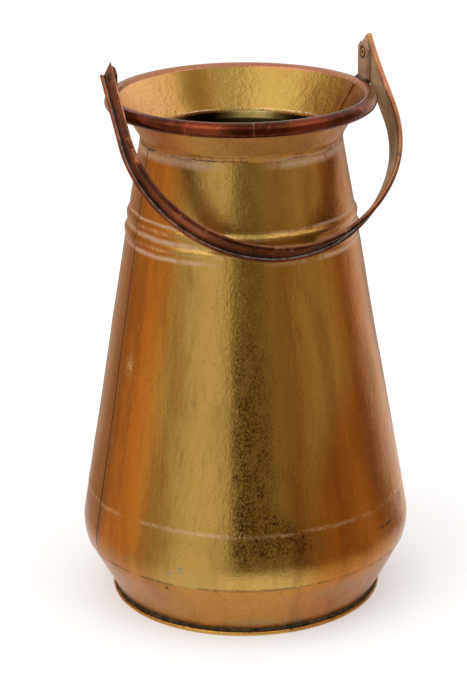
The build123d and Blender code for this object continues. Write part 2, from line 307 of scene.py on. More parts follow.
class Shader:
    """A node material, built up from small steps, with lengths in metres."""

    def __init__(self, name):
        self.material = bpy.data.materials.new(name)
        self.material.use_nodes = True
        self.tree = self.material.node_tree
        self.surface = self.tree.nodes["Principled BSDF"]
        self.place = self.new("ShaderNodeTexCoord").outputs["Object"]
        self.x, self.y, self.height = self.new("ShaderNodeSeparateXYZ", {"Vector": self.place}).outputs

    def new(self, kind, inputs=None, **settings):
        """A node with its settings and inputs."""
        node = self.tree.nodes.new(kind)
        for key, value in settings.items():
            setattr(node, key, value)
        for key, value in (inputs or {}).items():
            self.put(node.inputs[key], value)
        return node

    def put(self, socket, value):
        """Links another node's output to a socket, or sets a plain value on it."""
        if isinstance(value, bpy.types.NodeSocket):
            self.tree.links.new(value, socket)
        else:
            socket.default_value = value

    def set(self, **values):
        """Inputs of the surface, named with underscores."""
        for key, value in values.items():
            self.put(self.surface.inputs[key.replace("_", " ")], value)

    def math(self, operation, first, second=0.0):
        """One step of arithmetic."""
        node = self.new("ShaderNodeMath", operation=operation)
        self.put(node.inputs[0], first)
        self.put(node.inputs[1], second)
        return node.outputs[0]

    def plus(self, first, second):
        """Sum of two values."""
        return self.math("ADD", first, second)

    def minus(self, first, second):
        """Difference of two values."""
        return self.math("SUBTRACT", first, second)

    def times(self, first, *others):
        """Product of all the values."""
        for value in others:
            first = self.math("MULTIPLY", first, value)
        return first

    def length(self, first, second):
        """Length of a vector with two parts."""
        return self.math("SQRT", self.plus(self.times(first, first), self.times(second, second)))

    def from_axis(self):
        """Distance from the can's axis."""
        return self.length(self.x, self.y)

    def from_pivot(self):
        """Distance from the axis of the two rivets."""
        return self.length(self.y, self.minus(self.height, PIVOT_HEIGHT * MM))

    def rightward(self):
        """Distance from the can's axis towards the photograph's right."""
        view = math.radians(CAMERA_AZIMUTH)
        return self.plus(self.times(self.x, math.cos(view)), self.times(self.y, math.sin(view)))

    def backward(self):
        """Distance from the can's axis towards the photograph's far side."""
        view = math.radians(CAMERA_AZIMUTH)
        return self.minus(self.times(self.y, math.cos(view)), self.times(self.x, math.sin(view)))

    def noise(self, frequency, stretch=(1, 1, 1), detail=4.0, roughness=0.55, distortion=0.0, shift=0.0):
        """Cloudy pattern between 0 and 1."""
        location = (shift, shift * 0.7, shift * 0.4)
        mapped = self.new(
            "ShaderNodeMapping", {"Vector": self.place, "Scale": stretch, "Location": location}
        )
        return self.new(
            "ShaderNodeTexNoise",
            {
                "Vector": mapped.outputs[0],
                "Scale": frequency,
                "Detail": detail,
                "Roughness": roughness,
                "Distortion": distortion,
            },
        ).outputs["Fac"]

    def remap(self, value, low, high, out_low=0.0, out_high=1.0):
        """Smooth change from one output to the other between two values."""
        node = self.new("ShaderNodeMapRange", interpolation_type="SMOOTHSTEP")
        for socket, number in zip(node.inputs, (value, low, high, out_low, out_high)):
            self.put(socket, number)
        return node.outputs[0]

    def band(self, value, middle, half_width):
        """Mask that is 1 at a value and falls to 0 a half width away."""
        away = self.math("ABSOLUTE", self.minus(value, middle))
        return self.remap(away, 0.0, half_width, 1.0, 0.0)

    def mix(self, amount, first, second):
        """Colour between two colours."""
        node = self.new("ShaderNodeMix", data_type="RGBA")
        self.put(node.inputs[0], amount)
        self.put(node.inputs[6], first)
        self.put(node.inputs[7], second)
        return node.outputs[2]

    def bump(self, height, strength, distance, normal=None):
        """Normal of a rough surface, over another one as asked."""
        inputs = {"Height": height, "Strength": strength, "Distance": distance}
        if normal is not None:
            inputs["Normal"] = normal
        return self.new("ShaderNodeBump", inputs).outputs[0]


def rgb(red, green, blue):
    """Linear colour from 0 to 255 screen values."""
    channels = []
    for value in (red, green, blue):
        level = value / 255
        channels.append(level / 12.92 if level <= 0.04045 else ((level + 0.055) / 1.055) ** 2.4)
    return (*channels, 1.0)


GOLD = rgb(196, 158, 86)
PALE_GOLD = rgb(214, 166, 88)
OLIVE = rgb(120, 92, 36)
AMBER = rgb(180, 108, 38)
RUST = rgb(138, 74, 24)
# dark dirt, also used as painted shade in crevices, the pivot's dish and the rivet's hollow
GRIME_AND_SHADE = rgb(44, 34, 22)
WORN = rgb(214, 178, 148)
SMEAR = rgb(194, 160, 136)
LIT_PEACH = rgb(255, 192, 118)
MOUTH_GOLD = rgb(160, 128, 64)
MOUTH_SHADE = rgb(110, 72, 24)
SPIGOT_HIGHLIGHT = rgb(255, 230, 146)
TARNISH_AND_DARK_REFLECTION = rgb(72, 50, 16)
INNER_OLIVE = rgb(126, 108, 46)
INNER_DARK = rgb(74, 64, 28)
GREY = rgb(150, 138, 128)
DUST = rgb(132, 124, 98)


# Where the brass changes: heights in metres, and places across it as a part of the radius, from -1 at
# the photograph's left edge to 1 at its right
LOW_RIGHT_HEIGHTS = (0.16, 0.07)
LOW_RIGHT_PLACES = (0.15, 0.4)
HIGH_RIGHT_HEIGHTS = (0.12, 0.18)
HIGH_RIGHT_PLACES = (0.3, 0.6)
FLANK_PLACES = (0.52, 0.86)
RUST_PLACES = (0.22, 0.5)
SMEAR_PLACES = (0.1, 0.5)
DARK_BAND_LEFT_PLACES = (-0.11, -0.05)
DARK_BAND_RIGHT_PLACES = (0.06, 0.28)
DARK_BAND_SPREAD_HEIGHTS = (0.095, 0.07)
DARK_BAND_FOOT_HEIGHTS = (0.045, 0.07)
DARK_BAND_TOP_HEIGHTS = (0.12, 0.24)
DULL_NECK_HEIGHTS = (0.262, 0.285)
MOUTH_LIT_PLACES = (-0.5, -0.85)
MOUTH_SHADE_BAND = (-0.4, 0.26)
SPIGOT_HIGHLIGHT_HEIGHTS = (0.3112, 0.3104)
SPIGOT_HIGHLIGHT_BAND = (0.13, 0.45)
SPIGOT_SHADE_HEIGHTS = (0.3062, 0.3048)
FAR_REFLECTION_DEPTHS = (-0.05, 0.02)


def dark_band_mask(s, turned):
    """Speckled dark band down the front, wider towards the foot: a painted dark reflection, mixed with
    speckled, tarnished brass.
    """
    mottle = s.noise(720, stretch=(1, 1, 0.8), detail=5, roughness=0.9, shift=31)
    blotch = s.noise(120, stretch=(1, 1, 0.5), detail=4, roughness=0.65, shift=43)
    spread = s.minus(turned, s.remap(s.height, *DARK_BAND_SPREAD_HEIGHTS, 0.0, 0.26))
    return s.times(
        s.remap(turned, *DARK_BAND_LEFT_PLACES),
        s.remap(spread, *DARK_BAND_RIGHT_PLACES, 1.0, 0.0),
        s.remap(mottle, 0.44, 0.57, 0.2, 1.15),
        s.remap(blotch, 0.34, 0.6, 0.45, 1.2),
        s.remap(s.height, *DARK_BAND_FOOT_HEIGHTS),
        s.remap(s.height, *DARK_BAND_TOP_HEIGHTS, 1.0, 0.35),
    )


def brass(
    name,
    flank,
    base=GOLD,
    tone=0.0,
    smears=(),
    wear=(),
    grime_and_shade=(),
    spots=(),
    seam=None,
    tarnish_and_reflection=0.0,
    mouth=False,
    satin=0.0,
    metal=1.0,
    hammered=0.12,
    streaked=0.35,
):
    """Worn brass sheet, warm by tone in its middle, and by flank at its sides as a painted warm reflection.

    Smears, wear and the dark rings at the joints, which are dirt with painted crevice shade, have a height
    and a half width in millimetres, and the dark rings a strength. Spots have an azimuth and a height,
    their half sizes, a strength and a colour. A seam has an azimuth, a half width and a strength.
    """
    s = Shader(name)
    cloud = s.noise(14, detail=5, roughness=0.6)
    patch = s.noise(38, stretch=(1, 1, 0.45), detail=6, roughness=0.62, distortion=0.6, shift=3)
    streak = s.noise(260, stretch=(1, 1, 0.02), detail=3, roughness=0.6, shift=7)
    speck = s.noise(420, detail=3, roughness=0.7, shift=11)
    turned = s.math("DIVIDE", s.rightward(), s.math("MAXIMUM", s.from_axis(), 0.001))
    low_right = s.times(
        s.remap(s.height, *LOW_RIGHT_HEIGHTS, 0.0, 0.22), s.remap(turned, *LOW_RIGHT_PLACES)
    )
    high_right = s.times(
        s.remap(s.height, *HIGH_RIGHT_HEIGHTS, 0.0, 0.14), s.remap(turned, *HIGH_RIGHT_PLACES)
    )
    side = s.minus(s.plus(s.math("ABSOLUTE", turned), low_right), high_right)
    # painted warm reflection on the flanks, from the left edge across to the right
    warm = s.remap(s.plus(side, s.times(cloud, 0.2)), *FLANK_PLACES, tone, flank)
    color = s.mix(warm, base, AMBER)
    color = s.mix(s.remap(patch, 0.5, 0.8, 0.0, 0.3), color, OLIVE)
    color = s.mix(s.remap(streak, 0.5, 0.8, 0.0, streaked), color, OLIVE)
    color = s.mix(s.remap(speck, 0.6, 0.78, 0.0, 0.45), color, GRIME_AND_SHADE)
    fine_grain = s.noise(1100, detail=4, roughness=0.7, shift=37)
    color = s.mix(s.remap(fine_grain, 0.4, 0.66, 0.0, 0.2), color, OLIVE)
    band = s.noise(60, stretch=(1, 1, 0.04), detail=3, roughness=0.6, distortion=0.3, shift=41)
    banded = s.times(s.remap(band, 0.44, 0.66, 0.0, 0.36), s.remap(side, *RUST_PLACES))
    color = s.mix(banded, color, RUST)
    scratch = s.noise(800, stretch=(1, 1, 0.03), detail=2, shift=29)
    color = s.mix(s.remap(scratch, 0.66, 0.76, 0.0, 0.35), color, WORN)
    rough = s.remap(patch, 0.3, 0.8, 0.19 + satin, 0.3 + satin)
    if tarnish_and_reflection:
        # painted dark reflection down the front, mixed with speckled, tarnished brass
        color = s.mix(s.times(dark_band_mask(s, turned), tarnish_and_reflection), color, TARNISH_AND_DARK_REFLECTION)
        rough = s.plus(rough, s.remap(s.height, *DULL_NECK_HEIGHTS, 0.0, 0.07))
    if mouth:
        # painted light and shade in the mouth: a lit peach side and a shaded amber band
        lit = s.remap(turned, *MOUTH_LIT_PLACES, 0.0, 0.8)
        color = s.mix(s.times(s.band(turned, *MOUTH_SHADE_BAND), 0.85), color, MOUTH_SHADE)
        color = s.mix(lit, color, LIT_PEACH)
        # painted highlight along the spigot, also made less metallic so that it shows lit
        spigot = s.times(
            s.remap(s.height, *SPIGOT_HIGHLIGHT_HEIGHTS),
            s.remap(patch, 0.35, 0.6, 0.7, 1.0),
            s.band(turned, *SPIGOT_HIGHLIGHT_BAND),
        )
        color = s.mix(spigot, color, SPIGOT_HIGHLIGHT)
        # painted shade, darker down into the can below the spigot
        color = s.mix(s.remap(s.height, *SPIGOT_SHADE_HEIGHTS), color, INNER_DARK)
        metal = s.minus(1.0, s.math("MAXIMUM", s.times(lit, 0.75), spigot))
    wobble = s.plus(s.height, s.times(s.minus(cloud, 0.5), 0.006))
    for height, half_width in smears:
        ring = s.band(wobble, height * MM, half_width * MM)
        mask = s.times(ring, s.remap(patch, 0.32, 0.46), s.remap(side, *SMEAR_PLACES))
        color = s.mix(s.times(mask, s.remap(speck, 0.3, 0.6, 0.5, 1.0)), color, SMEAR)
        rough = s.plus(rough, s.times(mask, 0.2))
        metal = s.minus(metal, s.times(mask, 0.5))
    for height, half_width in wear:
        ring = s.band(wobble, height * MM, half_width * MM)
        mask = s.times(ring, s.remap(speck, 0.3, 0.6), s.remap(patch, 0.36, 0.58))
        color = s.mix(s.times(mask, 0.7), color, WORN)
    ragged = s.plus(s.height, s.times(s.minus(speck, 0.5), 0.003))
    # dark rings at the joints: dirt, with painted crevice shade
    for height, half_width, strength in grime_and_shade:
        mask = s.times(s.band(ragged, height * MM, half_width * MM), s.remap(patch, 0.4, 0.58))
        color = s.mix(s.times(mask, strength), color, GRIME_AND_SHADE)
        rough = s.plus(rough, s.times(mask, 0.3))
    azimuth = s.math("ARCTAN2", s.y, s.x)
    if seam is not None:
        place, half_width, strength = seam
        line = s.band(azimuth, signed_turn(place - SEAM_LINE_OFFSET), math.radians(half_width))
        color = s.mix(s.times(line, s.remap(patch, 0.25, 0.55, 0.3, strength)), color, GRIME_AND_SHADE)
    for place, height, half_arc, half_height, strength, paint in spots:
        mask = s.times(
            s.band(azimuth, signed_turn(place), math.radians(half_arc)),
            s.band(s.height, height * MM, half_height * MM),
            s.remap(speck, 0.38, 0.56),
        )
        color = s.mix(s.times(mask, strength), color, paint)
    dimples = s.noise(170, stretch=(1, 1, 0.6), detail=3, roughness=0.6, shift=19)
    grain = s.noise(620, stretch=(1, 1, 0.6), detail=3, roughness=0.65, shift=23)
    normal = s.bump(dimples, hammered, 0.0014)
    normal = s.bump(grain, 0.42, 0.0005, normal)
    normal = s.bump(streak, 0.06, 0.0006, normal)
    s.set(Base_Color=color, Metallic=metal, Roughness=rough, Normal=normal)
    return s.material


def copper(name, base, dark, bright, rough, far_reflection=None, metal=1.0, joint=None, dished=False):
    """Tarnished copper with worn brighter patches.

    Its roughness lies between two values. It has a far side made paler as a painted reflection, a joint at
    an azimuth and painted shade in the pivot's dish as asked.
    """
    s = Shader(name)
    cloud = s.noise(30, detail=5, roughness=0.6)
    patch = s.noise(95, detail=6, roughness=0.65, distortion=0.8, shift=5)
    fine = s.noise(700, stretch=(1, 1, 0.6), detail=3, shift=9)
    color = s.mix(s.remap(cloud, 0.36, 0.66), dark, base)
    if far_reflection is not None:
        # painted reflection: the far side paler than the near side
        color = s.mix(s.remap(s.backward(), *FAR_REFLECTION_DEPTHS), color, far_reflection)
    if joint is not None:
        azimuth = s.math("ARCTAN2", s.y, s.x)
        line = s.band(azimuth, signed_turn(joint), math.radians(RIM_JOINT_HALF_WIDTH))
        color = s.mix(s.times(line, s.remap(fine, 0.4, 0.6, 0.1, 0.6)), color, GOLD)
    color = s.mix(s.remap(patch, 0.54, 0.74, 0.0, 0.7), color, bright)
    color = s.mix(s.remap(fine, 0.54, 0.74, 0.0, 0.6), color, dark)
    if dished:
        # painted shade in the dish round the pivot
        ring = s.band(s.from_pivot(), PIVOT_SHADE_RADIUS * MM, PIVOT_SHADE_WIDTH * MM)
        color = s.mix(s.times(ring, 0.85), color, GRIME_AND_SHADE)
    smooth, dull = rough
    normal = s.bump(patch, 0.26, 0.0012)
    normal = s.bump(fine, 0.4, 0.0005, normal)
    s.set(Base_Color=color, Metallic=metal, Roughness=s.remap(patch, 0.3, 0.7, dull, smooth), Normal=normal)
    return s.material


def dull_metal(name, light, dark, rough, metal=0.85, hollow=False):
    """Solder, brazing, iron or a rivet: mottled and rough, with painted shade in the rivet's hollow as
    asked.
    """
    s = Shader(name)
    patch = s.noise(240, detail=5, roughness=0.65)
    lump = s.noise(90, detail=3, shift=13)
    color = s.mix(s.remap(patch, 0.35, 0.68), dark, light)
    if hollow:
        # painted shade in the rivet's hollow
        inside = s.remap(s.from_pivot(), RIVET_HOLLOW_RADIUS * MM, RIVET_HOLLOW_FLOOR * MM)
        color = s.mix(inside, color, GRIME_AND_SHADE)
    normal = s.bump(patch, 0.35, 0.0008)
    s.set(Base_Color=color, Metallic=metal, Roughness=s.remap(lump, 0.3, 0.7, *rough), Normal=normal)
    return s.material


body_brass = brass(
    "body_brass",
    flank=0.92,
    seam=(SEAM_AZIMUTH, 0.95, 1.0),
    tarnish_and_reflection=0.86,
    smears=((306.3, 4.5), (246.5, 2.6), (256.5, 2.6), (266, 1.6)),
    wear=((CREASE_HEIGHT, 2.2), (BEAD_HEIGHTS[0], 2), (BEAD_HEIGHTS[1], 2)),
    grime_and_shade=((LAP_HEIGHT + 0.5, 0.9, 0.6),),
    spots=(
        (192.7, 172.5, 3.5, 10, 0.8, WORN),
        (229, 77, 6, 1.4, 0.7, WORN),
        (250, 76.5, 9, 1.7, 0.8, WORN),
        (261, 76.5, 9, 1.9, 0.9, WORN),
        (273, 77.5, 9, 1.7, 0.8, WORN),
        (307.2, 63, 9, 2, 0.9, GRIME_AND_SHADE),
        (322, 73, 4, 7, 0.9, GRIME_AND_SHADE),
        (225.2, 52.5, 1.6, 4, 0.9, GREY),
        (221.5, 49, 1.2, 3, 0.8, GREY),
    ),
)
cup_brass = brass(
    "cup_brass",
    flank=0.9,
    tone=0.62,
    satin=0.05,
    grime_and_shade=((4, 3, 0.85), (5, 6, 0.5)),
    spots=(
        (258, 9, 27, 7, 0.6, DUST),
        (285, 30, 22, 8, 0.35, DUST),
        (219, 36, 2, 3, 0.8, GRIME_AND_SHADE),
    ),
)
foot_brass = brass("foot_brass", base=PALE_GOLD, flank=0.6, grime_and_shade=((HEM_TOP, 0.8, 0.85),))
collar_brass = brass(
    "collar_brass",
    base=PALE_GOLD,
    flank=0.95,
    tone=0.45,
    satin=0.12,
    seam=(COLLAR_SEAM_AZIMUTH, 1.0, 0.8),
    metal=0.7,
    hammered=0.45,
)
mouth_brass = brass(
    "mouth_brass",
    base=MOUTH_GOLD,
    flank=0.45,
    grime_and_shade=((310.9, 0.35, 0.85),),
    wear=((311.6, 0.7),),
    seam=(COLLAR_SEAM_AZIMUTH, 0.4, 0.6),
    mouth=True,
    hammered=0.5,
    streaked=0.1,
)
inner_brass = copper(
    "inner_brass", INNER_OLIVE, INNER_DARK, rgb(150, 132, 62), rough=(0.3, 0.5), metal=0.5
)
neck_bead_brass = brass(
    "neck_bead_brass",
    base=PALE_GOLD,
    flank=0.95,
    tone=0.45,
    smears=((308.5, 3),),
    grime_and_shade=((309.6, 1.0, 0.85), (312, 0.6, 0.7)),
    satin=0.16,
    metal=0.6,
)
lap_bead_brass = brass("lap_bead_brass", flank=0.9, tone=0.5, grime_and_shade=((39.3, 0.7, 0.6),))
rim_copper = copper(
    "rim_copper",
    rgb(126, 56, 33),
    rgb(72, 31, 18),
    rgb(178, 90, 54),
    rough=(0.1, 0.24),
    far_reflection=rgb(178, 118, 86),
    metal=0.93,
    joint=RIM_JOINT_AZIMUTH,
)
bail_copper = copper(
    "bail_copper",
    rgb(148, 72, 32),
    rgb(82, 39, 18),
    rgb(206, 118, 62),
    rough=(0.2, 0.36),
    metal=0.82,
)
bail_face = copper(
    "bail_face",
    rgb(202, 173, 134),
    rgb(148, 124, 94),
    rgb(222, 198, 162),
    rough=(0.4, 0.55),
    metal=0.35,
)
bail_curl = copper(
    "bail_curl",
    rgb(98, 48, 28),
    rgb(52, 27, 18),
    rgb(206, 128, 84),
    rough=(0.14, 0.26),
    far_reflection=rgb(192, 124, 80),
    metal=0.9,
)
# painted highlight on the inner half of the bail's curls
bail_edge_highlight = copper(
    "bail_edge_highlight",
    rgb(196, 136, 92),
    rgb(130, 82, 52),
    rgb(236, 186, 140),
    rough=(0.25, 0.4),
    metal=0.6,
)
# shaded copy of the ear's copper: painted shade for the left ear
ear_copper_shaded = copper(
    "ear_copper_shaded",
    rgb(100, 58, 40),
    rgb(54, 33, 26),
    rgb(156, 98, 70),
    rough=(0.3, 0.5),
    metal=0.8,
)
ear_copper = copper(
    "ear_copper",
    rgb(202, 170, 150),
    rgb(122, 88, 68),
    rgb(206, 134, 86),
    rough=(0.32, 0.5),
    metal=0.55,
    dished=True,
)
foot_dirt = dull_metal("foot_dirt", rgb(92, 82, 58), rgb(42, 37, 27), rough=(0.45, 0.7))
braze_dark = dull_metal("braze_dark", rgb(110, 82, 74), rgb(44, 36, 36), rough=(0.4, 0.6))
iron_grey = dull_metal("iron_grey", rgb(214, 212, 208), rgb(140, 138, 134), rough=(0.25, 0.4))
wire_grey = dull_metal("wire_grey", rgb(196, 192, 186), rgb(112, 108, 104), rough=(0.35, 0.5), metal=0.3)
rivet_brass = dull_metal("rivet_brass", rgb(222, 178, 96), rgb(130, 94, 40), rough=(0.25, 0.4), hollow=True)
# shaded copy of the rivet brass: painted shade for the left rivet
rivet_brass_shaded = dull_metal("rivet_brass_shaded", rgb(112, 80, 58), rgb(66, 44, 34), rough=(0.3, 0.5))


def body_line():
    """Outer line of the body with its two beads, from the lap to the neck."""
    bulge = arc(BULGE_CENTER, BULGE_ROUND, LAP_ANGLE, CONE_LEAN, 16)
    wall = []
    start = bulge[-1].y
    count = 170
    for i in range(count + 1):
        height = start + (NECK_HEIGHT - start) * i / count
        rise = sum(bump_at(height, bead, BEAD_HALF_WIDTH) for bead in BEAD_HEIGHTS)
        wall.append(on_cone(height, -BEAD_RISE * rise))
    return chain(bulge, wall)


def cup_line():
    """Outer line of the base cup from its flange to the top of the lap."""
    tangent = BULGE_CENTER + Vector((math.cos(CUP_LEAN), -math.sin(CUP_LEAN))) * CUP_RADIUS
    corner = on_cup(FLANGE_TOP)
    flange = [corner + Vector((FLANGE_WIDTH, 0)), corner]
    top = LAP_ANGLE + LAP_OVERLAP / CUP_RADIUS
    return chain(flange, run(corner, tangent, 1.6), arc(BULGE_CENTER, CUP_RADIUS, -CUP_LEAN, top, 12))


def disc_line():
    """Lower line of the base disc from its middle to the folded hem."""
    hem_round = HEM_TOP / 2
    hem_start = FOOT_RADIUS - hem_round
    floor = run((0, FLOOR_RECESS), (FLOOR_RADIUS, FLOOR_RECESS), 6)
    foot = run((FLOOR_RADIUS + FLOOR_STEP, 0), (hem_start, 0), 2)
    bend = arc((hem_start, hem_round), hem_round, -math.pi / 2, math.pi / 2, 10)
    return chain(floor, foot, bend, run((hem_start, HEM_TOP), (FOOT_RADIUS - HEM_FOLD, HEM_TOP), 1))


def flare():
    """Where the collar bends, how far its flare leans and where it meets the rim roll."""
    foot = on_cone(NECK_HEIGHT, LAP_STEP)
    up = Vector((-math.sin(CONE_LEAN), math.cos(CONE_LEAN)))
    bend = foot + up * NECK_BEND_LENGTH
    reach = Vector((RIM_RADIUS, RIM_HEIGHT)) - bend
    tangent = RIM_ROLL_RADIUS - SHEET
    lean = math.atan2(reach.x, reach.y) - math.asin(tangent / reach.length)
    top = Vector((RIM_RADIUS, RIM_HEIGHT)) + Vector((-math.cos(lean), math.sin(lean))) * tangent
    return foot - up * SPIGOT_DEPTH, bend, top, lean


def collar_line():
    """Outer line of the collar: spigot, rounded bend and flare."""
    foot, bend, top, lean = flare()
    half_turn = (CONE_LEAN + lean) / 2
    radius = NECK_BEND_LENGTH / math.tan(half_turn)
    leave = bend + (foot - bend).normalized() * NECK_BEND_LENGTH
    center = leave + Vector((math.cos(CONE_LEAN), math.sin(CONE_LEAN))) * radius
    turn = arc(center, radius, math.pi + CONE_LEAN, math.pi - lean, 6)
    return chain(run(foot, leave, 1.5), turn, run(turn[-1], top, 1.6))


def roll_outline():
    """Section of the rolled copper rim, open by a slit where the collar enters it."""
    lean = flare()[3]
    start = math.pi - lean
    tangent = RIM_ROLL_RADIUS - SHEET - FILM
    end = start + math.acos(tangent / RIM_ROLL_RADIUS) - 2 * math.pi
    center = (RIM_RADIUS, RIM_HEIGHT)
    outside = arc(center, RIM_ROLL_RADIUS, start, end, 44)
    inside = arc(center, RIM_ROLL_RADIUS - SHEET, end, start, 22)
    return chain(outside, inside)


SHEET_COLUMNS = 240
COLLAR_COLUMNS = 260
BODY_COLUMNS = 300
RING_COLUMNS = 360


def make_can():
    """Sheet pieces of the can, turned about its axis."""
    line = body_line()
    outline = thicken(line, SHEET, every=4)
    mesh = lathe("body", outline, BODY_COLUMNS, body_dents, SEAM_AZIMUTH, inside=len(line))
    finish_mesh("can_body", mesh, [body_brass, inner_brass], "can", ["body_shell", "body_bulge"])
    line = cup_line()
    mesh = lathe("cup", thicken(line, SHEET, every=2), SHEET_COLUMNS, cup_dents, inside=len(line))
    finish_mesh("can_base_cup", mesh, [cup_brass, inner_brass], "can", ["base_cup"])
    line = disc_line()
    mesh = lathe("disc", thicken(line, SHEET), SHEET_COLUMNS, inside=len(line))
    finish_mesh("can_base_disc", mesh, [foot_brass, inner_brass], "can", ["base_disc"])
    line = collar_line()
    outline = thicken(line, SHEET)
    mesh = lathe("collar", outline, COLLAR_COLUMNS, collar_dents, COLLAR_SEAM_AZIMUTH, inside=len(line))
    finish_mesh("can_collar", mesh, [collar_brass, mouth_brass], "can", ["collar"])
    mesh = lathe("rim", roll_outline(), RING_COLUMNS, rim_dents)
    finish_mesh("can_rim", mesh, [rim_copper], "can", ["rim_roll"])


def make_beads():
    """Uneven beads of solder at the foot, the lap and the neck."""
    hem_inner = FOOT_RADIUS - HEM_FOLD
    outline = [
        on_cup(FLANGE_TOP),
        Vector((hem_inner, FLANGE_TOP)),
        Vector((hem_inner, HEM_TOP)),
        Vector((hem_inner + FOOT_SOLDER_TOE, HEM_TOP)),
        Vector((hem_inner + 0.5, HEM_TOP + 0.5)),
        on_cup(HEM_TOP + FOOT_SOLDER_RISE),
    ]
    mesh = lathe("foot_bead", outline, RING_COLUMNS, solder_lumps(9, 0.12, 91))
    finish_mesh("can_foot_bead", mesh, [foot_dirt], "can", ["foot_solder"])
    low = LAP_ANGLE - LAP_SOLDER_WIDTH / CUP_RADIUS
    on_arc = arc(BULGE_CENTER, CUP_RADIUS, LAP_ANGLE, low, 2)
    edge = arc(BULGE_CENTER, BULGE_ROUND - FILM, LAP_ANGLE, LAP_ANGLE - 0.01, 1)
    mesh = lathe("lap_bead", on_arc + edge[::-1], RING_COLUMNS, solder_lumps(5, 0.12, 95))
    finish_mesh("can_lap_bead", mesh, [lap_bead_brass], "can", ["lap_solder"])
    _, bend, _, lean = flare()
    up = Vector((math.sin(lean), math.cos(lean)))
    outline = [
        on_cone(NECK_HEIGHT),
        on_cone(NECK_HEIGHT, LAP_STEP),
        bend,
        bend + up * (NECK_BEND_LENGTH + NECK_SOLDER_RISE),
        (bend + up * NECK_BEND_LENGTH).lerp(on_cone(NECK_HEIGHT), 0.6),
    ]
    mesh = lathe("neck_bead", outline, RING_COLUMNS, solder_lumps(7, 0.25, 99))
    finish_mesh("can_neck_bead", mesh, [neck_bead_brass], "can", ["neck_solder"])


BAIL_TROUGH, BAIL_FACE, BAIL_CURL, BAIL_EDGE_HIGHLIGHT = range(4)


def bail_section():
    """Closed section of the bail strip, as width and height over its inner face, and its materials."""
    middle = BAIL_WIDTH / 2 - BAIL_CURL_RADIUS
    inner = BAIL_CURL_RADIUS - SHEET
    lip = BAIL_CURL_RADIUS - SHEET - BAIL_CURL_SLIT
    outer_end = math.pi + math.asin(lip / BAIL_CURL_RADIUS)
    inner_end = math.pi + math.asin(lip / inner)
    center = (middle, BAIL_CURL_RADIUS)
    curl = chain(
        arc(center, BAIL_CURL_RADIUS, -math.pi / 2, outer_end, 24),
        arc(center, inner, inner_end, -math.pi / 2, 14),
    )
    mirrored = [Vector((-p.x, p.y)) for p in reversed(curl)]
    face = run((-middle, 0), (middle, 0), 2.4)
    trough = run((middle, SHEET), (-middle, SHEET), 2.4)
    section = chain(face, curl, trough, mirrored)[:-1]
    kinds = []
    for point, following in zip(section, section[1:] + section[:1]):
        if max(point.y, following.y) < 1e-3:
            kinds.append(BAIL_FACE)
        elif max(abs(point.x), abs(following.x)) > middle + 1e-3:
            inner_half = max(point.y, following.y) < BAIL_CURL_RADIUS + 1e-3
            kinds.append(BAIL_EDGE_HIGHLIGHT if inner_half else BAIL_CURL)
        else:
            kinds.append(BAIL_TROUGH)
    return section, kinds


def bail_stations():
    """Places along the bail from right tip to left: position in its plane and outward direction."""
    stations = []
    for point in run((BAIL_INNER, BAIL_TIP), (BAIL_INNER, -BAIL_LEG), 1.8):
        stations.append((point, Vector((1, 0))))
    count = 150
    for i in range(1, count):
        angle = -math.pi * i / count
        out = Vector((math.cos(angle), math.sin(angle)))
        stations.append((Vector((0, -BAIL_LEG)) + out * BAIL_INNER, out))
    for point in run((-BAIL_INNER, -BAIL_LEG), (-BAIL_INNER, LEFT_BAIL_TIP), 1.8):
        stations.append((point, Vector((-1, 0))))
    return stations


BAIL_UP = Vector((0, math.sin(BAIL_TILT), math.cos(BAIL_TILT)))
BAIL_FORWARD = Vector((0, -math.cos(BAIL_TILT), math.sin(BAIL_TILT)))


def in_bail(x, y, width):
    """Point of the bail's own plane as a point of the can, in millimetres."""
    return Vector((x, 0, PIVOT_HEIGHT)) + BAIL_UP * y + BAIL_FORWARD * width


def closed_mesh(name, rings, kinds):
    """Mesh of a tube through rings of points, closed at both ends, with a material for each side."""
    bm = bmesh.new()
    made = [[bm.verts.new(point * MM) for point in ring] for ring in rings]
    for first, second in zip(made, made[1:]):
        for j, kind in enumerate(kinds):
            k = (j + 1) % len(first)
            bm.faces.new((first[j], first[k], second[k], second[j])).material_index = kind
    bm.faces.new(made[0])
    bm.faces.new(made[-1])
    bmesh.ops.recalc_face_normals(bm, faces=bm.faces)
    mesh = bpy.data.meshes.new(name)
    bm.to_mesh(mesh)
    bm.free()
    return mesh


def cut(mesh, cutter):
    """The mesh with a cutter's volume taken out of it."""
    subject = bpy.data.objects.new("subject", mesh)
    tool = bpy.data.objects.new("tool", cutter)
    for item in (subject, tool):
        bpy.context.collection.objects.link(item)
    modifier = subject.modifiers.new("cut", "BOOLEAN")
    modifier.object = tool
    modifier.operation = "DIFFERENCE"
    modifier.solver = "EXACT"
    evaluated = subject.evaluated_get(bpy.context.evaluated_depsgraph_get())
    result = bpy.data.meshes.new_from_object(evaluated)
    for item in (subject, tool):
        bpy.data.objects.remove(item)
    return result


def curl_cutter():
    """Block that clears the front curl back from the left pivot."""
    bm = bmesh.new()
    corners = []
    for x in (BAIL_INNER + SHEET, BAIL_INNER + 3 * BAIL_CURL_RADIUS):
        for y in (-LEFT_CURL_START, BAIL_TIP + 1):
            for width in (BAIL_WIDTH / 2 - 2 * BAIL_CURL_RADIUS - 0.05, BAIL_WIDTH / 2 + 1):
                corners.append(bm.verts.new(in_bail(-x, y, width) * MM))
    bmesh.ops.convex_hull(bm, input=corners)
    bmesh.ops.recalc_face_normals(bm, faces=bm.faces)
    mesh = bpy.data.meshes.new("curl_cutter")
    bm.to_mesh(mesh)
    bm.free()
    return mesh


